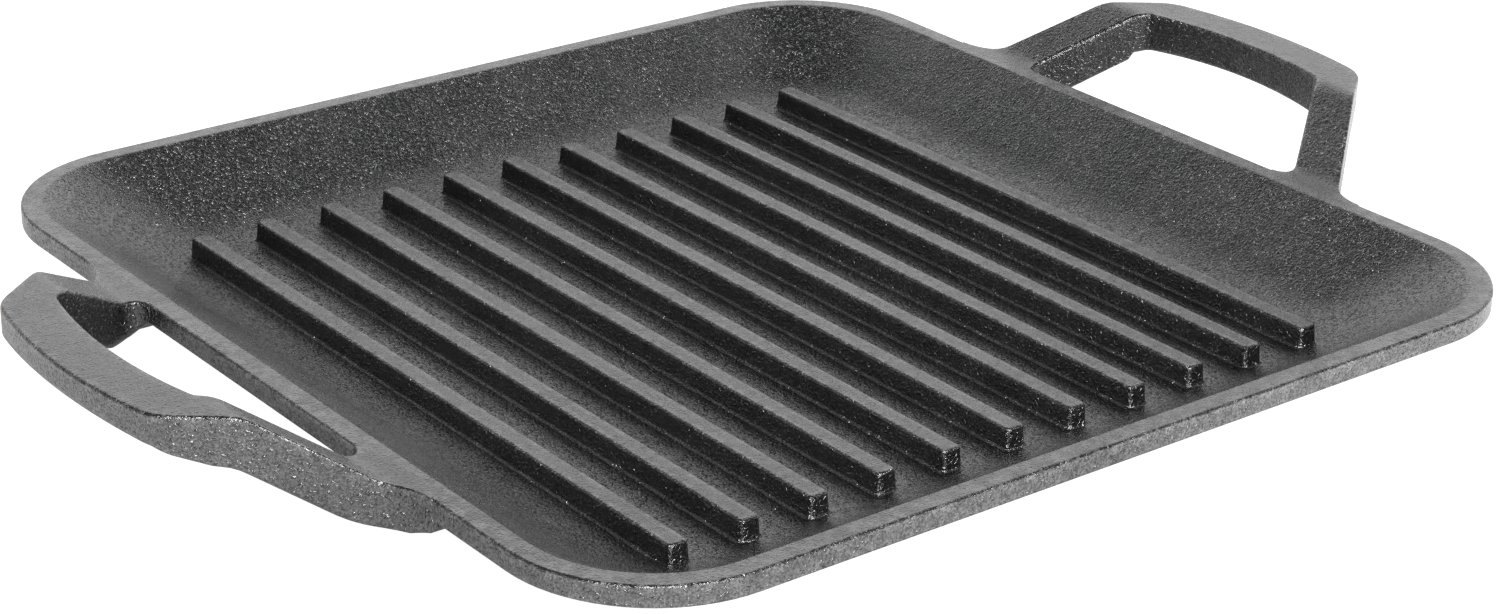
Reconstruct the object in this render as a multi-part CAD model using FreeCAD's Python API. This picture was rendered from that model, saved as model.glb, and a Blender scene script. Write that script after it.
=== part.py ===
import FreeCAD, Part
import math
import os

# Square ribbed grill pan with two loop handles: one iron casting, millimetres.
# Frame: X runs from handle to handle, Y runs along the ribs, Z is up.
# Origin: centre of the flat underside, on the surface that the pan rests on.
# Each node is a named region of the casting, and neighbouring regions meet face to face.

Vector = FreeCAD.Vector

# Pan
rim_half = 139.7            # centre to the rim's outer face, in X and in Y
corner_radius = 36.6        # rim's outer corner, in plan
floor_thickness = 4.4
inside_depth = 18.0         # rim top to floor
rim_width = 5.3             # flat top face of the rim
band_height = 5.25          # outer face of the rim
wall_angle = 35.0           # slope of the side walls above the horizontal
cove_radius = 24.0          # inside curve from floor to wall
cove_steps = 6              # facets that stand for that curve
floor_corner_radius = 20.0  # floor's corner, in plan, where the curve starts

# Ribs
rib_count = 11
rib_pitch = 19.05
rib_half_length = 102.6
rib_height = 5.4
rib_top_half = 2.6          # before its edges are rounded
rib_foot_half = 3.0
rib_edge_radius = 0.7

# Handles
grip_rise = 15.0            # grip's top face above the rim
grip_half = 35.6            # half length of the grip's outer edge
grip_reach = 182.2          # centre to the ends of the grip's outer edge
grip_bow = 4.2              # how far the outer edge bows out between them
grip_corner_radius = 12.5
root_half = 68.4            # half width of the loop where it leaves the rim
root_fillet = 16.0
hole_half_at_rim = 52.5
hole_half_at_grip = 31.6
hole_reach = 169.6
hole_bow = 3.6
hole_corner_radius = 3.8
arm_angle = 33.0            # slope of the arms above the horizontal
arm_bend_radius = 8.0
root_bend_radius = 20.0     # of the underside, where the arm comes down to the root
arm_top_middle = 155.4      # X where the arm's top is halfway up
arm_bottom_middle = 158.2   # X where the arm's underside is halfway up
arm_depth_at_root = 10.7    # arm's underside below the rim top, at the rim
arm_bottom_rise = 3.0       # arm's underside above the rim top, at the grip
relief_rise_inner = 4.8     # grip's underside above the rim top, along the hole
relief_rise_outer = 8.3     # and along the outer edge
relief_half = 43.0          # half length of the relieved part, with the ramps at its ends
relief_slope = 0.45         # rise of those ramps
root_taper_start = 69.0     # past here the root's underside rises to meet the rim's band
root_taper_end = 82.5
hole_side_start = 46.9      # beside the hole the root's underside leaves the rim's band here
hole_side_along = 7.1       # and is fully down this far along the rim
hole_side_out = 12.3        # or this far out from it

rim_height = floor_thickness + inside_depth
rim_inner = rim_half - rim_width
band_bottom = rim_height - band_height
slope = math.tan(math.radians(wall_angle))


def prism(points, direction):
    """Closed polygon through the points, extruded along a direction."""
    wire = Part.makePolygon(points + [points[0]])
    return Part.Face(wire).extrude(direction)


def arc(centre_x, centre_z, radius, degrees_from, degrees_to):
    """Arc in the XZ plane, angles measured from +X towards +Z."""
    ends = []
    for degrees in (degrees_from, (degrees_from + degrees_to) / 2, degrees_to):
        turn = math.radians(degrees)
        ends.append(Vector(centre_x + radius * math.cos(turn), 0, centre_z + radius * math.sin(turn)))
    return Part.Arc(*ends).toShape()


def line(start, end):
    return Part.makeLine(start, end)


def rounded_square(half, radius, z):
    """Closed outline of a square with rounded corners, centred on the origin at a height."""
    edges = []
    straight = half - radius
    across = radius * math.sqrt(0.5)
    for turn in (0, 90, 180, 270):
        side = line(Vector(half, -straight, z), Vector(half, straight, z))
        corner = Part.Arc(Vector(half, straight, z), Vector(straight + across, straight + across, z),
                          Vector(straight, half, z)).toShape()
        for edge in (side, corner):
            edge.rotate(Vector(0, 0, 0), Vector(0, 0, 1), turn)
            edges.append(edge)
    return Part.Wire(edges)


def wall_stations():
    """Places along the wall from the floor up: half width, corner radius and height inside, then outside."""
    cove_start = rim_inner - inside_depth / slope - cove_radius * math.tan(math.radians(wall_angle / 2))
    rim_corner = corner_radius - rim_width
    stations = []
    for step in range(cove_steps + 1):
        turn = math.radians(wall_angle) * step / cove_steps
        inside = cove_start + cove_radius * math.sin(turn)
        height = floor_thickness + cove_radius * (1 - math.cos(turn))
        stations.append((turn, inside, height))
    stations.append((turn, rim_inner, rim_height))
    inner, outer = [], []
    for turn, inside, height in stations:
        climb = (inside - cove_start) / (rim_inner - cove_start)
        radius = floor_corner_radius + climb * (rim_corner - floor_corner_radius)
        offset = floor_thickness * math.sin(turn)
        inner.append((inside, radius, height))
        outer.append((inside + offset, radius + offset, height - floor_thickness * math.cos(turn)))
    return inner, outer


def make_pan_body():
    """Floor, four walls and four corners with the flat rim around them, as one solid."""
    inner, outer = wall_stations()
    # the outside of the wall ends where it meets the underside of the rim
    below, above = outer[-2], outer[-1]
    share = (band_bottom - below[2]) / (above[2] - below[2])
    outer[-1] = tuple(low + share * (high - low) for low, high in zip(below, above))
    dish = Part.makeLoft([rounded_square(*station) for station in outer], True, True)
    hollow = Part.makeLoft([rounded_square(*station) for station in inner], True, True)
    band = Part.Face(rounded_square(rim_half, corner_radius, band_bottom))
    band = band.extrude(Vector(0, 0, band_height))
    return dish.fuse(band).cut(hollow).removeSplitter()


def make_rib(index, pan):
    """Straight grill rib with a little draft and rounded top edges, standing on the pan's floor."""
    middle = (index - (rib_count - 1) / 2) * rib_pitch
    top = floor_thickness + rib_height
    outline = [
        Vector(middle - rib_foot_half, -rib_half_length, floor_thickness),
        Vector(middle + rib_foot_half, -rib_half_length, floor_thickness),
        Vector(middle + rib_top_half, -rib_half_length, top),
        Vector(middle - rib_top_half, -rib_half_length, top),
    ]
    bar = prism(outline, Vector(0, 2 * rib_half_length, 0))
    rounded = []
    for edge in bar.Edges:
        lowest = min(vertex.Point.z for vertex in edge.Vertexes)
        highest = max(vertex.Point.z for vertex in edge.Vertexes)
        if lowest > top - 0.01 or highest - lowest > rib_height / 2:
            rounded.append(edge)
    return bar.makeFillet(rib_edge_radius, rounded).cut(pan)


def step_path(middle_x, low_z, high_z, low_radius):
    """Low level, bend, straight slope, bend, high level: edges of one side of the arm's profile."""
    reach = (high_z - low_z) / 2 / math.tan(math.radians(arm_angle))
    tangent_share = math.tan(math.radians(arm_angle / 2))
    low_start = middle_x - reach - low_radius * tangent_share
    high_end = middle_x + reach + arm_bend_radius * tangent_share
    low_bend = arc(low_start, low_z + low_radius, low_radius, -90, -90 + arm_angle)
    high_bend = arc(high_end, high_z - arm_bend_radius, arm_bend_radius, 90 + arm_angle, 90)
    slope_line = line(low_bend.Vertexes[-1].Point, high_bend.Vertexes[0].Point)
    return [low_bend, slope_line, high_bend], Vector(low_start, 0, low_z), Vector(high_end, 0, high_z)


def arm_profile():
    """Side profile of the loop in the XZ plane, run inwards under the rim to the wall."""
    beyond = grip_reach + grip_bow + 5
    root_bottom = rim_height - arm_depth_at_root
    inside_band = rim_half - rim_width / 2
    # both points lie inside the wall's thickness, so that cutting the pan away leaves the root on it
    behind_ledge = rim_inner - (rim_height - band_bottom) / slope + floor_thickness
    behind_root = rim_inner - arm_depth_at_root / slope + floor_thickness
    top_edges, top_start, top_end = step_path(
        arm_top_middle, rim_height, rim_height + grip_rise, arm_bend_radius)
    low_edges, low_start, low_end = step_path(
        arm_bottom_middle, root_bottom, rim_height + arm_bottom_rise, root_bend_radius)
    corners = [
        low_start,
        Vector(behind_root, 0, root_bottom),
        Vector(behind_ledge, 0, band_bottom),
        Vector(inside_band, 0, band_bottom),
        Vector(inside_band, 0, rim_height),
        top_start,
    ]
    far = [top_end, Vector(beyond, 0, top_end.z), Vector(beyond, 0, low_end.z), low_end]
    edges = top_edges + low_edges
    for start, end in zip(corners, corners[1:]):
        edges.append(line(start, end))
    for start, end in zip(far, far[1:]):
        edges.append(line(start, end))
    return Part.Face(Part.Wire(Part.__sortEdges__(edges)))


def bowed_plan(half_at_rim, half_at_grip, rim_x, grip_x, bow, bottom, height):
    """Prism with a trapezoid plan whose far side bows outwards."""
    near_left = Vector(rim_x, -half_at_rim, bottom)
    near_right = Vector(rim_x, half_at_rim, bottom)
    far_left = Vector(grip_x, -half_at_grip, bottom)
    far_right = Vector(grip_x, half_at_grip, bottom)
    bowed = Part.Arc(far_left, Vector(grip_x + bow, 0, bottom), far_right).toShape()
    wire = Part.Wire([line(near_left, far_left), bowed, line(far_right, near_right),
                      line(near_right, near_left)])
    return Part.Face(wire).extrude(Vector(0, 0, height))


def upright_edges(solid, x, half):
    """The solid's vertical edges at a place in plan, on both sides of the XZ plane."""
    found = []
    for edge in solid.Edges:
        start, end = edge.Vertexes[0].Point, edge.Vertexes[-1].Point
        upright = abs(start.z - end.z) > 1 and math.hypot(start.x - end.x, start.y - end.y) < 0.01
        if upright and abs(start.x - x) < 0.01 and abs(abs(start.y) - half) < 0.01:
            found.append(edge)
    return found


def make_handle(pan):
    """Loop handle on the +X side, with its root cut to the pan's rim and wall."""
    tall = 60
    loop = bowed_plan(root_half, grip_half, rim_half, grip_reach, grip_bow, 0, tall)
    strip_half = 110
    strip_depth = 30
    strip = Part.makeBox(strip_depth, 2 * strip_half, tall,
                         Vector(rim_half - strip_depth, -strip_half, 0))
    plan = strip.fuse(loop).removeSplitter()
    plan = plan.makeFillet(root_fillet, upright_edges(plan, rim_half, root_half))
    plan = plan.makeFillet(grip_corner_radius, upright_edges(plan, grip_reach, grip_half))
    hole = bowed_plan(hole_half_at_rim, hole_half_at_grip, rim_half, hole_reach, hole_bow, 0, tall)
    hole = hole.makeFillet(hole_corner_radius, upright_edges(hole, rim_half, hole_half_at_rim)
                           + upright_edges(hole, hole_reach, hole_half_at_grip))

    profile = arm_profile()
    profile.translate(Vector(0, -root_taper_end, 0))
    loop_solid = profile.extrude(Vector(0, 2 * root_taper_end, 0)).common(plan).cut(hole)

    # between the arms nothing hangs below the rim's band
    between_half = hole_half_at_rim - hole_corner_radius / 2
    between = Part.makeBox(strip_depth, 2 * between_half, band_bottom,
                           Vector(rim_half - strip_depth, -between_half, 0))
    # outside the arms the root's underside rises to the band
    root_bottom = rim_height - arm_depth_at_root
    cuts = [between]
    for side in (-1, 1):
        taper = [
            Vector(rim_half - strip_depth, side * root_taper_start, root_bottom),
            Vector(rim_half - strip_depth, side * (root_taper_end + 1), band_bottom),
            Vector(rim_half - strip_depth, side * (root_taper_end + 1), 0),
            Vector(rim_half - strip_depth, side * root_taper_start, 0),
        ]
        cuts.append(prism(taper, Vector(2 * strip_depth, 0, 0)))
        cuts.append(hole_side_slope(side))
    cuts.append(grip_relief())
    cuts.append(pan)
    return loop_solid.cut(cuts).removeSplitter()


def hole_side_slope(side):
    """Material under the sloping plane that lifts a root's underside beside the hole."""
    drop = band_height - arm_depth_at_root
    reach_in = 10
    reach_back = 6

    def on_plane(out, along):
        share = along / hole_side_along + out / hole_side_out
        return Vector(rim_half + out, side * (hole_side_start + along), band_bottom + drop * share)

    far_along = hole_side_along * (1 + reach_in / hole_side_out)
    far_out = hole_side_out * (1 + reach_back / hole_side_along)
    corners = [on_plane(-reach_in, -reach_back),
               on_plane(-reach_in, far_along),
               on_plane(far_out, -reach_back)]
    return prism(corners, Vector(0, 0, -rim_height))


def grip_relief():
    """Material taken from under the grip, where the fingers go: rises outwards, with a ramp at each end."""
    low_z = rim_height + arm_bottom_rise
    outer_x = grip_reach + grip_bow
    rise = (relief_rise_outer - relief_rise_inner) / (outer_x - hole_reach - hole_bow)
    ramp_rise = 9
    middle_half = relief_half - ramp_rise / relief_slope
    start_x = hole_reach - hole_bow
    end_x = outer_x + 5
    inner_x = hole_reach + hole_bow
    across = prism([
        Vector(start_x, -rim_half, 0),
        Vector(end_x, -rim_half, 0),
        Vector(end_x, -rim_half, rim_height + relief_rise_inner + rise * (end_x - inner_x)),
        Vector(start_x, -rim_half, rim_height + relief_rise_inner + rise * (start_x - inner_x)),
    ], Vector(0, 2 * rim_half, 0))
    along = prism([
        Vector(start_x, -relief_half, low_z),
        Vector(start_x, relief_half, low_z),
        Vector(start_x, middle_half, low_z + ramp_rise),
        Vector(start_x, -middle_half, low_z + ramp_rise),
    ], Vector(end_x - start_x, 0, 0))
    return across.common(along)


pan_body = make_pan_body()
handle_right = make_handle(pan_body)
handle_left = handle_right.mirror(Vector(0, 0, 0), Vector(1, 0, 0))

nodes = {"pan_body": pan_body, "handle_left": handle_left, "handle_right": handle_right}
for index in range(rib_count):
    nodes[f"rib_{index + 1:02d}"] = make_rib(index, pan_body)

os.makedirs("parts", exist_ok=True)
for name, shape in nodes.items():
    shape.exportStep(f"parts/{name}.step")
    print(name, len(shape.Solids), shape.isValid(), round(shape.Volume / 1000, 2), "cm3")
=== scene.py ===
import math

import bpy
from mathutils import Matrix, Vector


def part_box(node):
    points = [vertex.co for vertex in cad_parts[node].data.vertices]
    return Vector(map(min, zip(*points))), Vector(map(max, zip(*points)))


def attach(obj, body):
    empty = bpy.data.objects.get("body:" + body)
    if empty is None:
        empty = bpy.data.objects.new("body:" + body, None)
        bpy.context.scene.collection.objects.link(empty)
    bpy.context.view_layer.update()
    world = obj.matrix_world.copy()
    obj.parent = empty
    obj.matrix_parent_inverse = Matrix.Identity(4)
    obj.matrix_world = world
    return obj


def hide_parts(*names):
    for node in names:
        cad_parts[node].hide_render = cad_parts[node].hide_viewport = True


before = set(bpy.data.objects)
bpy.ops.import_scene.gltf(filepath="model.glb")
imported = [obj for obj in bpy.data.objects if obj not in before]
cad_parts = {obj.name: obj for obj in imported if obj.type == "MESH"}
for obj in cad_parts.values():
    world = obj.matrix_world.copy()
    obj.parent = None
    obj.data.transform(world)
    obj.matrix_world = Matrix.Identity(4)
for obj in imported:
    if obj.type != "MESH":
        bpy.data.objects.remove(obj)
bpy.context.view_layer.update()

# Square grill pan of seasoned cast iron, in metres, in the part's own frame:
# X runs from handle to handle, Y along the ribs, Z up, with the origin under the floor's centre.
# The real pan is one casting. The pieces below are its regions, each closed, and each runs a little
# way into its neighbour, so that the surface is unbroken where they meet.

MM = 0.001

# What the frame gives
pan_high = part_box("pan_body")[1]
rib_low, rib_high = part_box("rib_01")
loop_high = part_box("handle_right")[1]
rib_names = sorted(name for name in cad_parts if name.startswith("rib_"))
RIM_HALF = pan_high.x
RIM_TOP = pan_high.z
FLOOR_TOP = rib_low.z
RIB_TOP = rib_high.z
LOOP_REACH = loop_high.x
LOOP_TOP = loop_high.z

# Pan sections, as in the part
RIM_WIDTH = 5.3 * MM
RIM_CORNER = 36.6 * MM
BAND_HEIGHT = 5.25 * MM
FLOOR_CORNER = 20.0 * MM
COVE_RADIUS = 24.0 * MM
WALL_ANGLE = math.radians(35.0)
WALL_THICKNESS = FLOOR_TOP
INSIDE_DEPTH = RIM_TOP - FLOOR_TOP
RIM_INNER = RIM_HALF - RIM_WIDTH
BAND_BOTTOM = RIM_TOP - BAND_HEIGHT
COVE_SHIFT = COVE_RADIUS * math.tan(WALL_ANGLE / 2)
COVE_START = RIM_INNER - INSIDE_DEPTH / math.tan(WALL_ANGLE) - COVE_SHIFT

# Rounding of the casting's edges
RIM_EDGE = 0.75 * MM        # outer edge of the rim's top
RIM_INNER_EDGE = 1.2 * MM
BAND_EDGE = 0.55 * MM       # lower edge of the rim's outer face
LEDGE_FILLET = 2.2 * MM     # where the wall meets the rim's underside
RIB_EDGE = 0.75 * MM
RIB_FOOT = 0.9 * MM         # fillet where a rib stands on the floor
RIB_CORNER = 1.1 * MM       # upright corners of a rib
BAR_EDGE = 0.9 * MM
BAR_LOWER_EDGE = 1.3 * MM

# Ribs
RIB_DRAFT = 0.4 * MM        # how much each side leans in
RIB_RIDGE = 0.6 * MM        # half width of the last ring on its top
RIB_SKIRT = 3.0 * MM        # a rib's hidden skirt reaches this far out
RIB_SUNK = 0.2 * MM         # and lies this far under the floor

# Loop handles, as in the part
ROOT_HALF = 68.4 * MM
ROOT_FILLET = 16.0 * MM
GRIP_HALF = 35.6 * MM
GRIP_BOW = 4.2 * MM
GRIP_REACH = LOOP_REACH - GRIP_BOW
GRIP_CORNER = 12.5 * MM
HOLE_ROOT_HALF = 52.5 * MM
HOLE_GRIP_HALF = 31.6 * MM
HOLE_REACH = 169.6 * MM
HOLE_BOW = 3.6 * MM
HOLE_CORNER = 3.8 * MM
ARM_ANGLE = math.radians(33.0)
ARM_BEND = 8.0 * MM
ROOT_BEND = 20.0 * MM
ARM_TOP_MIDDLE = 155.4 * MM
ARM_BOTTOM_MIDDLE = 158.2 * MM
ROOT_BOTTOM = RIM_TOP - 10.7 * MM
ARM_BOTTOM_HIGH = RIM_TOP + 3.0 * MM
RELIEF_INNER = RIM_TOP + 4.8 * MM
RELIEF_OUTER = RIM_TOP + 8.3 * MM
RELIEF_HALF = 43.0 * MM
RELIEF_SLOPE = 0.45         # how fast the grip's underside comes down again at its ends
ROOT_TAPER_START = 69.0 * MM
ROOT_TAPER_END = 83.5 * MM
HOLE_SIDE_START = 46.9 * MM     # beside the hole the root's underside starts at the rim's band here
HOLE_SIDE_ALONG = 7.1 * MM      # and reaches its full depth this far along the rim
HOLE_SIDE_OUT = 12.3 * MM       # or this far out from it

# Where the handles' roots run into the rim
CAP_LIFT = 0.03 * MM        # the root's top lies this far proud of the rim's top
CAP_DEPTH = 2.4 * MM        # and reaches this far over it
CAP_END = 1.2 * MM          # before it slips under the rim's top
CAP_DIVE = 0.07             # at this slope
TIP_START = 76.0 * MM       # the tips of the root fillets sink into the rim's edge from here
TIP_END = 83.5 * MM
HIDDEN_DEPTHS = (13.2 * MM, 11 * MM, 8.5 * MM, 6 * MM, 4.2 * MM)  # sections inside the rim and wall
HIDDEN_COVER = 1.6 * MM     # those sections lie this far under the rim's top
HIDDEN_THICKNESS = 1 * MM

# How finely the surfaces are divided
PAN_SPACING = 3 * MM
RIB_SPACING = 1.2 * MM
PAN_SIDE_STEPS, PAN_CORNER_STEPS = 40, 18
RIB_END_STEPS, RIB_SIDE_STEPS, RIB_CORNER_STEPS = 2, 90, 6
BEND_STEPS, FLAT_STEPS, SIDE_STEPS = 5, 6, 5
ROOT_STEPS, ARM_STEPS, GRIP_BEND_STEPS, GRIP_STEPS = 12, 22, 14, 24
MIDDLE_SHARES = (0.03, 0.2, 0.4, 0.6, 0.8)      # rings of the flat middle, as shares of its half width


# ---------------------------------------------------------------- mesh helpers

def mesh_piece(name, vertices, faces, edge_marks, material):
    """Closed mesh with smooth shading; edge_marks says how near each vertex is to a cast edge."""
    mesh = bpy.data.meshes.new(name)
    mesh.from_pydata(vertices, [], faces)
    mesh.validate()
    mesh.update()
    mark = mesh.attributes.new("cast_edge", "FLOAT", "POINT")
    mark.data.foreach_set("value", edge_marks)
    piece = bpy.data.objects.new(name, mesh)
    bpy.context.scene.collection.objects.link(piece)
    mesh.materials.append(material)
    mesh.shade_smooth()
    weighted = piece.modifiers.new("weighted_normals", "WEIGHTED_NORMAL")
    weighted.weight = 80
    weighted.keep_sharp = False
    return piece


def bridge(rings, marks):
    """Skin of quads through closed rings of equal size, with both ends closed, and each vertex's mark."""
    size = len(rings[0])
    vertices = [point for ring in rings for point in ring]
    edge_marks = [mark for ring_marks in marks for mark in ring_marks]
    faces = []
    for level in range(len(rings) - 1):
        base = level * size
        for index in range(size):
            following = (index + 1) % size
            faces.append((base + index, base + following,
                          base + size + following, base + size + index))
    faces.append(tuple(reversed(range(size))))
    last = (len(rings) - 1) * size
    faces.append(tuple(range(last, last + size)))
    return vertices, faces, edge_marks


def rounded_rectangle(half_x, half_y, radius, z, steps_x, steps_y, steps_corner, middle=(0.0, 0.0)):
    """Ring of points round a rectangle with rounded corners, anticlockwise from above."""
    ring = []
    straight_x, straight_y = half_x - radius, half_y - radius
    corners = ((1, 1), (-1, 1), (-1, -1), (1, -1))
    for number, (side_x, side_y) in enumerate(corners):
        start = number * math.pi / 2
        for step in range(steps_corner):
            turn = start + math.pi / 2 * step / steps_corner
            ring.append((side_x * straight_x + radius * math.cos(turn),
                         side_y * straight_y + radius * math.sin(turn)))
        corner_end = (side_x * straight_x - radius * math.sin(start),
                      side_y * straight_y + radius * math.cos(start))
        following_x, following_y = corners[(number + 1) % 4]
        turn = start + math.pi / 2
        next_start = (following_x * straight_x + radius * math.cos(turn),
                      following_y * straight_y + radius * math.sin(turn))
        steps = steps_x if number % 2 == 0 else steps_y
        for step in range(steps):
            share = step / steps
            ring.append((corner_end[0] + share * (next_start[0] - corner_end[0]),
                         corner_end[1] + share * (next_start[1] - corner_end[1])))
    return [(middle[0] + x, middle[1] + y, z) for x, y in ring]


def direction(start, end):
    length = math.hypot(end[0] - start[0], end[1] - start[1])
    return ((end[0] - start[0]) / length, (end[1] - start[1]) / length)


def corner_arc(before, corner, after, radius, steps):
    """Points of the arc that rounds a corner between two straight runs, ends included."""
    to_before, to_after = direction(corner, before), direction(corner, after)
    half = math.acos(to_before[0] * to_after[0] + to_before[1] * to_after[1]) / 2
    tangent = radius / math.tan(half)
    bisector = direction((0, 0), (to_before[0] + to_after[0], to_before[1] + to_after[1]))
    centre = (corner[0] + bisector[0] * radius / math.sin(half),
              corner[1] + bisector[1] * radius / math.sin(half))
    start = (corner[0] + to_before[0] * tangent, corner[1] + to_before[1] * tangent)
    end = (corner[0] + to_after[0] * tangent, corner[1] + to_after[1] * tangent)
    first = math.atan2(start[1] - centre[1], start[0] - centre[0])
    sweep = math.atan2(end[1] - centre[1], end[0] - centre[0]) - first
    sweep = (sweep + math.pi) % (2 * math.pi) - math.pi
    return [(centre[0] + radius * math.cos(first + sweep * step / steps),
             centre[1] + radius * math.sin(first + sweep * step / steps)) for step in range(steps + 1)]


def straight(start, end, steps):
    """Points between two places, without the ends."""
    return [(start[0] + (end[0] - start[0]) * step / steps,
             start[1] + (end[1] - start[1]) * step / steps) for step in range(1, steps)]


def rounded_path(corners, spacing):
    """Section through corners of (across, height, radius, steps, mark), as (across, height, mark)."""
    path = [(corners[0][0], corners[0][1], 0.0)]
    for before, corner, after in zip(corners, corners[1:], corners[2:]):
        arc = corner_arc(before[:2], corner[:2], after[:2], corner[2], corner[3])
        run = math.hypot(arc[0][0] - path[-1][0], arc[0][1] - path[-1][1])
        path += [(*point, 0.0) for point in straight(path[-1][:2], arc[0], max(1, round(run / spacing)))]
        path += [(*point, corner[4]) for point in arc]
    end = corners[-1][:2]
    run = math.hypot(end[0] - path[-1][0], end[1] - path[-1][1])
    path += [(*point, 0.0) for point in straight(path[-1][:2], end, max(1, round(run / spacing)))]
    return path + [(*end, 0.0)]


# ---------------------------------------------------------------- the pan's body

def pan_body_piece(material):
    """Floor, walls, corners and rim as rings of a rounded square, from the middle of the underside,
    out and over the rim, to the middle of the floor."""
    upright_thickness = WALL_THICKNESS / math.cos(WALL_ANGLE)
    under_radius = COVE_RADIUS + WALL_THICKNESS
    under_shift = under_radius * math.tan(WALL_ANGLE / 2)
    ledge_start = RIM_INNER + (upright_thickness - BAND_HEIGHT) / math.tan(WALL_ANGLE)
    band_middle = RIM_TOP - BAND_HEIGHT / 2
    flat_end = COVE_START - 1 * MM
    # corners of the section: across, height, radius, steps round it, and how near a cast edge it is
    outside = rounded_path([
        (flat_end, 0.0, 0, 0, 0),
        (COVE_START + under_shift, 0.0, under_radius, 10, 0),
        (ledge_start, BAND_BOTTOM, LEDGE_FILLET, 4, 0),
        (RIM_HALF, BAND_BOTTOM, BAND_EDGE, 5, 0.6),
        (RIM_HALF, band_middle, 0, 0, 0),
    ], PAN_SPACING)
    inside = rounded_path([
        (RIM_HALF, band_middle, 0, 0, 0),
        (RIM_HALF, RIM_TOP, RIM_EDGE, 6, 1),
        (RIM_INNER, RIM_TOP, RIM_INNER_EDGE, 4, 0.5),
        (COVE_START + COVE_SHIFT, FLOOR_TOP, COVE_RADIUS, 12, 0),
        (flat_end, FLOOR_TOP, 0, 0, 0),
    ], PAN_SPACING)
    rings, marks = [], []

    def add_ring(half, radius, height, mark):
        ring = rounded_rectangle(half, half, radius, height, PAN_SIDE_STEPS, PAN_SIDE_STEPS,
                                 PAN_CORNER_STEPS)
        rings.append(ring)
        marks.append([mark] * len(ring))

    for share in MIDDLE_SHARES:
        add_ring(COVE_START * share, FLOOR_CORNER * share, 0.0, 0)
    for half, height, mark in outside:
        climb = max(0.0, (half - COVE_START) / (RIM_HALF - COVE_START))
        add_ring(half, FLOOR_CORNER + climb * (RIM_CORNER - FLOOR_CORNER), height, mark)
    rim_corner_inner = RIM_CORNER - RIM_WIDTH
    for half, height, mark in inside[1:]:
        if half > RIM_INNER:
            radius = RIM_CORNER - (RIM_HALF - half)
        else:
            climb = max(0.0, (half - COVE_START) / (RIM_INNER - COVE_START))
            radius = FLOOR_CORNER + climb * (rim_corner_inner - FLOOR_CORNER)
        add_ring(half, radius, height, mark)
    for share in reversed(MIDDLE_SHARES):
        add_ring(COVE_START * share, FLOOR_CORNER * share, FLOOR_TOP, 0)
    return mesh_piece("cast_pan_body", *bridge(rings, marks), material)


# ---------------------------------------------------------------- the ribs

def rib_piece(node, material):
    """Grill rib with rounded top, drafted sides and a flared foot that runs just under the floor."""
    low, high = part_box(node)
    middle = ((low.x + high.x) / 2, (low.y + high.y) / 2)
    half_width, half_length = (high.x - low.x) / 2, (high.y - low.y) / 2
    path = rounded_path([
        (half_width + RIB_SKIRT, FLOOR_TOP - 3 * RIB_SUNK, 0, 0, 0),
        (half_width + RIB_SKIRT, FLOOR_TOP - RIB_SUNK, RIB_SUNK / 2, 1, 0),
        (half_width, FLOOR_TOP, RIB_FOOT, 6, 0.4),
        (half_width - RIB_DRAFT, RIB_TOP, RIB_EDGE, 5, 1),
        (RIB_RIDGE, RIB_TOP, 0, 0, 0),
    ], RIB_SPACING)
    rings, marks = [], []
    for half, height, mark in path:
        outwards = half - half_width
        radius = max(0.45 * half, RIB_CORNER + outwards)
        ring = rounded_rectangle(half, half_length + outwards, radius, height,
                                 RIB_END_STEPS, RIB_SIDE_STEPS, RIB_CORNER_STEPS, middle)
        rings.append(ring)
        marks.append([mark] * len(ring))
    return mesh_piece(node.replace("rib", "cast_rib"), *bridge(rings, marks), material)


# ---------------------------------------------------------------- the loop handles

def step_height(across, middle, low, high, low_radius):
    """Height of one side of the arm: low level, bend, slope, bend, high level."""
    reach = (high - low) / 2 / math.tan(ARM_ANGLE)
    side, end, radius = (1, high, ARM_BEND) if across > middle else (-1, low, low_radius)
    bend_end = reach + radius * math.tan(ARM_ANGLE / 2)
    from_middle = abs(across - middle)
    if from_middle >= bend_end:
        return end
    if from_middle >= bend_end - radius * math.sin(ARM_ANGLE):
        return end - side * (radius - math.sqrt(radius ** 2 - (bend_end - from_middle) ** 2))
    return (low + high) / 2 + (across - middle) * math.tan(ARM_ANGLE)


def tip_drop(y):
    """How far the tips of the root fillets sink into the rim's rounded edge."""
    return RIM_EDGE * max(0.0, (abs(y) - TIP_START) / (TIP_END - TIP_START)) ** 2


def bar_top(x, y):
    """Top of the loop, which is level across."""
    return step_height(x, ARM_TOP_MIDDLE, RIM_TOP, LOOP_TOP, ARM_BEND) - tip_drop(y)


def bar_bottom(x, y):
    """Underside of the loop: the arm's step, lifted under the grip and at the root's outer end."""
    low = step_height(x, ARM_BOTTOM_MIDDLE, ROOT_BOTTOM, ARM_BOTTOM_HIGH, ROOT_BEND)
    inner_edge = HOLE_REACH + HOLE_BOW
    if x > HOLE_REACH - HOLE_BOW:
        rise = (RELIEF_OUTER - RELIEF_INNER) / (LOOP_REACH - inner_edge)
        sloped = RELIEF_INNER + rise * (x - inner_edge)
        ramp = ARM_BOTTOM_HIGH + (RELIEF_HALF - abs(y)) * RELIEF_SLOPE
        low = max(low, min(sloped, ramp))
    if abs(y) > ROOT_TAPER_START:
        share = (abs(y) - ROOT_TAPER_START) / (ROOT_TAPER_END - ROOT_TAPER_START)
        low = max(low, ROOT_BOTTOM + share * (BAND_BOTTOM - ROOT_BOTTOM))
    if x < ARM_BOTTOM_MIDDLE:
        out_from_rim = max(0.0, x - RIM_HALF)
        share = (abs(y) - HOLE_SIDE_START) / HOLE_SIDE_ALONG + out_from_rim / HOLE_SIDE_OUT
        low = max(low, BAND_BOTTOM + share * (ROOT_BOTTOM - BAND_BOTTOM))
    return low


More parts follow.
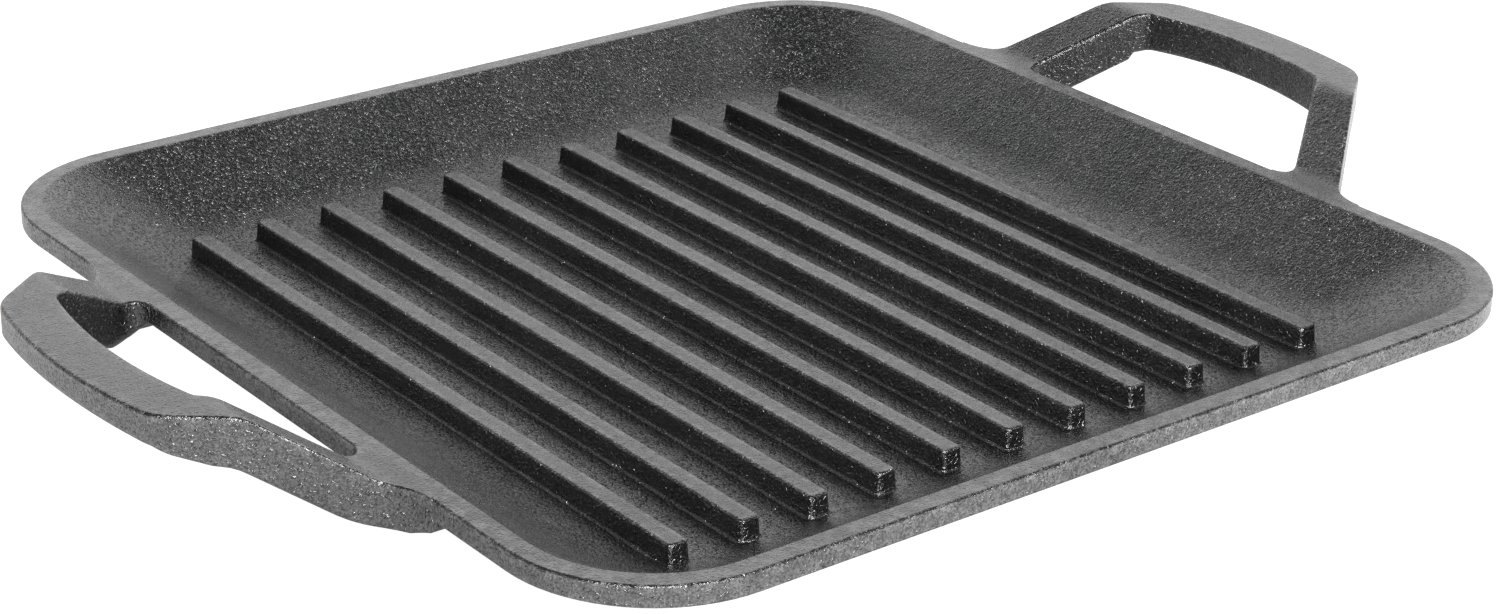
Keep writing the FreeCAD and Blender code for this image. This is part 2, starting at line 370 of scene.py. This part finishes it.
def bowed(reach, bow, half, y):
    """Place on an edge that bows outwards between y = -half and y = half."""
    return (reach + bow * (1 - (y / half) ** 2), y)


def half_outline(far_y, root_half, root_radius, reach, bow, grip_half, grip_radius):
    """One side's plan from the rim to the middle of the grip: root bend, arm, grip bend, grip."""
    root, grip_end = (RIM_HALF, root_half), (reach, grip_half)
    grip_next = bowed(reach, bow, grip_half, grip_half - 7 * MM)
    root_bend = corner_arc((RIM_HALF, far_y), root, grip_end, root_radius, ROOT_STEPS)
    grip_bend = corner_arc(root, grip_end, grip_next, grip_radius, GRIP_BEND_STEPS)
    arm = straight(root_bend[-1], grip_bend[0], ARM_STEPS)
    # the bend ends beside the bow, so the first quarter of the points eases from one to the other
    bend_x, bend_y = grip_bend[-1]
    beside = bend_x - bowed(reach, bow, grip_half, bend_y)[0]
    grip = []
    for step in range(1, GRIP_STEPS + 1):
        x, y = bowed(reach, bow, grip_half, bend_y * (1 - step / GRIP_STEPS))
        ease = max(0.0, 1 - 4 * step / GRIP_STEPS)
        grip.append((x + ease * beside, y))
    return root_bend + arm + grip_bend + grip


def bar_ring(inner, outer, top, bottom):
    """Section of the loop between two places in plan, with rounded edges, and its edge marks."""
    width = math.hypot(outer[0] - inner[0], outer[1] - inner[1])
    across = ((outer[0] - inner[0]) / width, (outer[1] - inner[1]) / width)
    ring, marks = [], []

    def place(distance):
        return inner[0] + across[0] * distance, inner[1] + across[1] * distance

    depth = min(top(*place(0)) - bottom(*place(0)), top(*place(width)) - bottom(*place(width)))
    upper_edge = min(BAR_EDGE, depth / 4)
    lower_edge = min(BAR_LOWER_EDGE, depth / 4)

    def add(distance, height, mark):
        ring.append((*place(distance), height))
        marks.append(mark)

    def add_bend(near_outer, radius, from_top, turns, mark):
        for turn in turns:
            inset = radius * (1 - math.cos(turn))
            distance = width - inset if near_outer else inset
            lift = radius * (1 - math.sin(turn))
            x, y = place(distance)
            add(distance, top(x, y) - lift if from_top else bottom(x, y) + lift, mark)

    def add_flat(near, far, side, steps):
        for step in range(1, steps):
            distance = near + (far - near) * step / steps
            add(distance, side(*place(distance)), 0)

    def add_side(distance, start, end, steps):
        for step in range(1, steps):
            add(distance, start + (end - start) * step / steps, 0)

    rising = [math.pi / 2 * step / BEND_STEPS for step in range(BEND_STEPS + 1)]
    falling = rising[::-1]
    ends = [(top(*place(distance)) - upper_edge, bottom(*place(distance)) + lower_edge)
            for distance in (0, width)]
    add_bend(False, upper_edge, True, rising, 1)
    add_flat(upper_edge, width - upper_edge, top, FLAT_STEPS)
    add_bend(True, upper_edge, True, falling, 1)
    add_side(width, ends[1][0], ends[1][1], SIDE_STEPS)
    add_bend(True, lower_edge, False, rising, 0.5)
    add_flat(width - lower_edge, lower_edge, bottom, FLAT_STEPS)
    add_bend(False, lower_edge, False, falling, 0.5)
    add_side(0.0, ends[0][1], ends[0][0], SIDE_STEPS)
    return ring, marks


def handle_piece(name, side, material):
    """Loop handle: sections of a bar along its plan, with both roots run into the rim and wall."""
    outer = half_outline(2 * RIM_HALF, ROOT_HALF, ROOT_FILLET, GRIP_REACH, GRIP_BOW, GRIP_HALF, GRIP_CORNER)
    inner = half_outline(0.0, HOLE_ROOT_HALF, HOLE_CORNER, HOLE_REACH, HOLE_BOW, HOLE_GRIP_HALF,
                         HOLE_CORNER)
    stations = [(i, o, bar_top, bar_bottom) for i, o in zip(inner, outer)]

    def cap_top(x, y):
        """Just proud of the rim's top, then slipping under it."""
        past_cap = max(0.0, RIM_HALF - CAP_DEPTH - x)
        return RIM_TOP + CAP_LIFT - past_cap * CAP_DIVE - tip_drop(y)

    def inside_rim(x, y):
        return RIM_TOP - HIDDEN_COVER - (RIM_HALF - CAP_DEPTH - x) * math.tan(WALL_ANGLE)

    def under_rim(x, y):
        return min(bar_bottom(x, y), inside_rim(x, y) - HIDDEN_THICKNESS)

    roots = [(depth, inside_rim) for depth in HIDDEN_DEPTHS]
    roots += [(CAP_DEPTH + share * CAP_END, cap_top) for share in (1.0, 0.5)]
    roots += [(CAP_DEPTH, cap_top), (CAP_DEPTH / 2, cap_top)]
    root_stations = []
    for depth, top in roots:
        place = [(RIM_HALF - depth, point[1]) for point in (inner[0], outer[0])]
        root_stations.append((*place, top, under_rim))
    half = root_stations + stations
    mirrored = [((i[0], -i[1]), (o[0], -o[1]), top, bottom)
                for i, o, top, bottom in reversed(half[:-1])]
    rings, marks = [], []
    for i, o, top, bottom in half + mirrored:
        ring, ring_marks = bar_ring(i, o, top, bottom)
        rings.append([(side * x, y, z) for x, y, z in ring])
        marks.append(ring_marks)
    return mesh_piece(name, *bridge(rings, marks), material)


# ---------------------------------------------------------------- seasoned iron

class Nodes:
    """Short way to add and join the nodes of one material or world."""

    def __init__(self, tree):
        self.tree = tree
        self.tree.nodes.clear()

    def add(self, kind, inputs=None, **settings):
        node = self.tree.nodes.new("ShaderNode" + kind)
        for name, value in settings.items():
            setattr(node, name, value)
        for name, value in (inputs or {}).items():
            socket = node.inputs[name]
            if isinstance(value, bpy.types.NodeSocket):
                self.tree.links.new(value, socket)
            else:
                socket.default_value = value
        return node

    def math(self, operation, first, second, clamp=False):
        return self.add("Math", {0: first, 1: second}, operation=operation, use_clamp=clamp).outputs[0]

    def remap(self, value, low, high, to_low, to_high, curve="LINEAR"):
        """Value carried from one range to another, and held at its ends."""
        return self.add("MapRange", {"Value": value, "From Min": low, "From Max": high,
                                     "To Min": to_low, "To Max": to_high},
                        interpolation_type=curve).outputs["Result"]

    def vector(self, operation, first, second, output="Vector"):
        return self.add("VectorMath", {0: first, 1: second}, operation=operation).outputs[output]

    def colours(self, factor, first, second):
        """Mix of two colours."""
        return self.add("Mix", {"Factor": factor, "A": first, "B": second},
                        data_type="RGBA").outputs["Result"]

    def noise(self, place, feature_mm, detail=2.0, roughness=0.5):
        """Noise whose features are about feature_mm wide; place is in millimetres."""
        return self.add("TexNoise", {"Vector": place, "Scale": 1.0 / feature_mm, "Detail": detail,
                                     "Roughness": roughness}).outputs["Fac"]


THICK_SEASONING = (0.158, 0.158, 0.160, 1.0)
THIN_SEASONING = (0.202, 0.201, 0.203, 1.0)
# bare iron at worn edges, also used as a painted highlight along the cast edges
WORN_IRON_AND_EDGE_HIGHLIGHT = (0.36, 0.355, 0.35, 1.0)


def seasoned_iron():
    """Cast iron under a thin oil-black seasoning: pebbly as cast, with worn and oily places, and a painted
    highlight along its rounded edges.
    """
    material = bpy.data.materials.new("seasoned_iron")
    material.use_nodes = True
    nodes = Nodes(material.node_tree)
    place = nodes.vector("MULTIPLY", nodes.add("TexCoord").outputs["Object"], (1 / MM, 1 / MM, 1 / MM))
    edge = nodes.add("Attribute", attribute_name="cast_edge").outputs["Fac"]

    # grit and pebbles of the sand mould, and a slow unevenness
    grit = nodes.noise(place, 0.6, detail=3.0, roughness=0.6)
    lumps = nodes.noise(place, 2.6, detail=1.0)
    swell = nodes.noise(place, 15.0, detail=1.0)
    height = nodes.math("MULTIPLY", grit, 0.22)
    height = nodes.math("ADD", height, nodes.math("MULTIPLY", lumps, 0.12))
    height = nodes.math("ADD", height, nodes.math("MULTIPLY", swell, 0.30))
    # small blisters, fewer where the metal is flat on top and gets scraped
    facing_up = nodes.add("SeparateXYZ", {"Vector": nodes.add("TexCoord").outputs["Normal"]}).outputs["Z"]
    height_mm = nodes.add("SeparateXYZ", {"Vector": place}).outputs["Z"]
    scraped = nodes.math("MULTIPLY", nodes.remap(facing_up, 0.90, 0.98, 0.0, 0.7),
                         nodes.remap(height_mm, 8.5, 9.5, 0.0, 1.0))
    pebbly = nodes.math("SUBTRACT", 1.0, scraped)
    blisters = nodes.remap(nodes.noise(place, 0.8, detail=0.0), 0.58, 0.78, 0.0, 0.20)
    height = nodes.math("ADD", height, nodes.math("MULTIPLY", blisters, pebbly))
    bump = nodes.add("Bump", {"Height": height, "Strength": 1.0, "Distance": MM})

    # where the seasoning is thicker, thinner, or oily
    patches = nodes.noise(place, 24.0, detail=3.0, roughness=0.55)
    mottle = nodes.noise(place, 3.0, detail=2.0, roughness=0.6)
    thin = nodes.math("ADD", nodes.math("MULTIPLY", patches, 0.6), nodes.math("MULTIPLY", mottle, 0.4))
    # lighter colour along the marked cast edges: partly wear of the seasoning, partly a painted highlight,
    # which also lightens the concave fillets at the rib feet
    wear_and_edge_highlight = nodes.math("MULTIPLY", edge, nodes.remap(mottle, 0.40, 0.62, 0.0, 1.0), True)
    seasoning = nodes.colours(nodes.remap(thin, 0.38, 0.62, 0.0, 1.0), THICK_SEASONING, THIN_SEASONING)
    colour = nodes.colours(nodes.math("MULTIPLY", wear_and_edge_highlight, 0.4), seasoning, WORN_IRON_AND_EDGE_HIGHLIGHT)
    # dark pits and bright specks
    specks = nodes.noise(place, 0.5, detail=2.0, roughness=0.7)
    specks = nodes.remap(specks, 0.36, 0.66, -0.40, 0.55)
    specks = nodes.math("ADD", nodes.math("MULTIPLY", specks, pebbly), 1.0)
    colour = nodes.add("VectorMath", {0: colour, "Scale": specks}, operation="SCALE").outputs["Vector"]
    roughness = nodes.math("ADD", nodes.remap(patches, 0.35, 0.65, 0.20, 0.26),
                           nodes.remap(grit, 0.3, 0.7, -0.05, 0.05))
    shader = nodes.add("BsdfPrincipled", {"Base Color": colour, "Roughness": roughness,
                                          "Metallic": 0.97, "Normal": bump.outputs["Normal"]})
    output = nodes.add("OutputMaterial", {"Surface": shader.outputs["BSDF"]})
    material.node_tree.nodes.active = output
    return material


# ---------------------------------------------------------------- stage, light and camera

WINDOW = (0.707, 0.707, 0.0)    # level direction of the middle of the studio's window
RIGHT = (0.794, -0.607, 0.0)    # level direction to the right of the pan
WHITE = (1.0, 1.0, 1.0, 1.0)
FLOOR_HALF = 3.0

# The window reaches this far from its middle and this high: where it starts to fade, and where it ends
WINDOW_SIDES = math.cos(math.radians(38)), math.cos(math.radians(51))
WINDOW_TOP = math.sin(math.radians(45)), math.sin(math.radians(53))
SIDE_LIGHT_TOP = math.sin(math.radians(20)), math.sin(math.radians(36))
WINDOW_GLOW, ROOM_GLOW = 1.15, 0.06

CAMERA_PLACE = Vector((-462.83, -587.58, 334.41)) * MM
CAMERA_AZIMUTH = math.radians(-37.412)      # from straight in front, towards the left handle
CAMERA_ELEVATION = math.radians(24.021)
CAMERA_ROLL = math.radians(0.855)


def studio_floor():
    """White floor that the pan stands on: plain white to the camera; for other rays it glows, a painted
    light that is dimmer in the iron's reflections.
    """
    material = bpy.data.materials.new("white_floor")
    material.use_nodes = True
    nodes = Nodes(material.node_tree)
    place = nodes.add("TexCoord").outputs["Object"]
    paper = nodes.add("TexNoise", {"Vector": place, "Scale": 40.0, "Detail": 3.0}).outputs["Fac"]
    tone = nodes.colours(paper, (0.80, 0.80, 0.80, 1.0), (0.84, 0.84, 0.84, 1.0))
    # painted glow, brighter to the right of the pan, with a painted shadow under it and its handles
    to_right = nodes.vector("DOT_PRODUCT", place, RIGHT, "Value")
    glow = nodes.remap(to_right, -0.03, 0.15, 0.5, 1.05, "SMOOTHSTEP")
    narrowed = nodes.vector("MULTIPLY", place, (0.8, 1.0, 1.0))
    out = nodes.add("VectorMath", {0: narrowed}, operation="LENGTH").outputs["Value"]
    shade = nodes.remap(out, 0.12, 0.19, 0.1, 1.0, "SMOOTHSTEP")
    glow = nodes.math("MULTIPLY", glow, shade)
    seen = nodes.add("LightPath").outputs["Is Camera Ray"]
    strength = nodes.math("MAXIMUM", glow, seen)
    shader = nodes.add("BsdfPrincipled", {"Base Color": tone, "Roughness": 0.9, "Specular IOR Level": 0.1,
                                          "Emission Color": WHITE, "Emission Strength": strength})
    nodes.add("OutputMaterial", {"Surface": shader.outputs["BSDF"]})
    corners = [(x * FLOOR_HALF, y * FLOOR_HALF, 0) for x, y in ((-1, -1), (1, -1), (1, 1), (-1, 1))]
    mesh = bpy.data.meshes.new("studio_floor")
    mesh.from_pydata(corners, [], [(0, 1, 2, 3)])
    mesh.materials.append(material)
    floor = bpy.data.objects.new("studio_floor", mesh)
    bpy.context.scene.collection.objects.link(floor)
    return floor


def studio_world():
    """Wide soft window behind the pan and a weak low light beside it, in a dim room."""
    world = bpy.data.worlds.new("soft_studio")
    world.use_nodes = True
    nodes = Nodes(world.node_tree)
    way = nodes.add("TexCoord").outputs["Generated"]
    up = nodes.add("SeparateXYZ", {"Vector": way}).outputs["Z"]
    flattened = nodes.vector("MULTIPLY", way, (1.0, 1.0, 0.0))
    level = nodes.add("VectorMath", {0: flattened}, operation="NORMALIZE").outputs["Vector"]
    facing = nodes.vector("DOT_PRODUCT", level, WINDOW, "Value")
    full, gone = WINDOW_SIDES
    window = nodes.remap(facing, gone, full, 0.0, WINDOW_GLOW, "SMOOTHSTEP")
    below_top = nodes.remap(up, *WINDOW_TOP, 1.0, 0.0)
    side_light = nodes.remap(facing, -0.7, 0.5, 0.04, 0.6, "SMOOTHSTEP")
    low_down = nodes.remap(up, *SIDE_LIGHT_TOP, 1.0, 0.0)
    strength = nodes.math("MAXIMUM", nodes.math("MULTIPLY", window, below_top),
                          nodes.math("MULTIPLY", side_light, low_down))
    strength = nodes.math("MAXIMUM", strength, ROOM_GLOW)
    # plain white behind the floor's edge for the camera
    strength = nodes.math("MAXIMUM", strength, nodes.add("LightPath").outputs["Is Camera Ray"])
    background = nodes.add("Background", {"Color": WHITE, "Strength": strength})
    nodes.add("OutputWorld", {"Surface": background.outputs["Background"]})
    bpy.context.scene.world = world


def soft_box(name, azimuth, elevation, distance, width, height, radiance):
    """Lamp that faces the pan, at a bearing and height in degrees, the bearing anticlockwise from +X."""
    lamp = bpy.data.lights.new(name, "AREA")
    lamp.shape = "RECTANGLE"
    lamp.size = width
    lamp.size_y = height
    lamp.energy = radiance * math.pi * width * height
    box = bpy.data.objects.new(name, lamp)
    bearing, rise = math.radians(azimuth), math.radians(elevation)
    box.location = Vector((math.cos(bearing) * math.cos(rise), math.sin(bearing) * math.cos(rise),
                           math.sin(rise))) * distance
    box.rotation_euler = (-box.location).to_track_quat("-Z", "Y").to_euler()
    bpy.context.scene.collection.objects.link(box)


def studio_camera():
    """Camera above the front left, looking across both handles."""
    lens = bpy.data.cameras.new("studio_camera")
    lens.sensor_fit = "HORIZONTAL"
    lens.sensor_width = 36.0
    lens.lens = 78.68
    lens.shift_x = 0.0355
    lens.shift_y = 0.0026
    lens.clip_start = 0.01
    camera = bpy.data.objects.new("studio_camera", lens)
    bpy.context.scene.collection.objects.link(camera)
    level_right = Vector((math.cos(CAMERA_AZIMUTH), math.sin(CAMERA_AZIMUTH), 0.0))
    level_back = Vector((math.sin(CAMERA_AZIMUTH), -math.cos(CAMERA_AZIMUTH), 0.0))
    back = level_back * math.cos(CAMERA_ELEVATION) + Vector((0.0, 0.0, math.sin(CAMERA_ELEVATION)))
    level_up = back.cross(level_right)
    right = level_right * math.cos(CAMERA_ROLL) + level_up * math.sin(CAMERA_ROLL)
    up = level_up * math.cos(CAMERA_ROLL) - level_right * math.sin(CAMERA_ROLL)
    turn = Matrix((right, up, back)).transposed().to_4x4()
    camera.matrix_world = Matrix.Translation(CAMERA_PLACE) @ turn
    bpy.context.scene.camera = camera


# ---------------------------------------------------------------- the scene

iron = seasoned_iron()
regions = [(pan_body_piece(iron), "pan_body"),
           (handle_piece("cast_handle_right", 1, iron), "handle_right"),
           (handle_piece("cast_handle_left", -1, iron), "handle_left")]
for name in rib_names:
    regions.append((rib_piece(name, iron), name))
for piece, node in regions:
    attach(piece, "root")
    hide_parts(node)

studio_floor()
studio_world()
soft_box("front_box", 226.0, 34.0, 1.6, 0.40, 0.20, 30.0)
soft_box("side_box", 256.0, 30.0, 1.6, 1.3, 0.16, 18.0)
studio_camera()
bpy.context.scene.view_settings.view_transform = "Standard"
